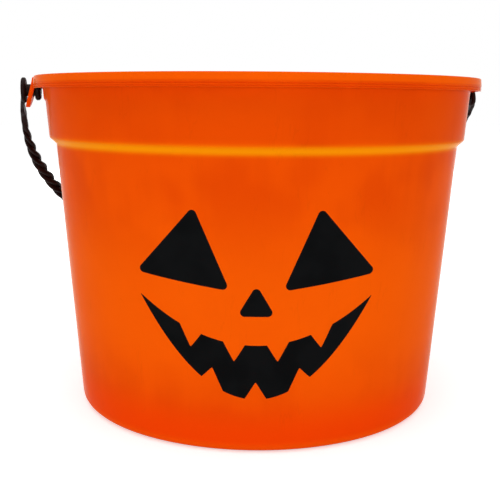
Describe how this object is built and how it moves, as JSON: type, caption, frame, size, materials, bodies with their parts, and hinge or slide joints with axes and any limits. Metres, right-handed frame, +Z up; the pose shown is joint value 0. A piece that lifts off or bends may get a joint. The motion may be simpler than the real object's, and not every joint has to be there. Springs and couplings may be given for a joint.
{
  "type": "treat pail",
  "caption": "Round tapered plastic treat pail with a turned-down rim, a printed jack-o'-lantern face and a rope-look swing handle for carrying sweets.",
  "frame": {"origin": "middle of the base, on the surface that the pail stands on", "axes": "+Z up, +X through the two ears, +Y to the back where the handle hangs; the printed face looks to the front, 8.5 degrees off -Y towards -X"},
  "size_m": [0.2051, 0.19, 0.14],
  "materials": {
    "orange_plastic": "satin gloss, moulded through in orange",
    "black_plastic": "satin, moulded through in black",
    "black_print": "flat black ink"
  },
  "bodies": {
    "pail": {"pail_body": "orange_plastic", "face_left_eye": "black_print", "face_right_eye": "black_print", "face_nose": "black_print", "face_mouth": "black_print"},
    "bail": {"bail_handle": "black_plastic"}
  },
  "joints": [
    {"name": "bail_swing", "type": "hinge", "parent": "pail", "child": "bail", "pos_m": [0, 0, 0.1342], "axis": [1, 0, 0], "range_deg": [0, 270]}
  ]
}
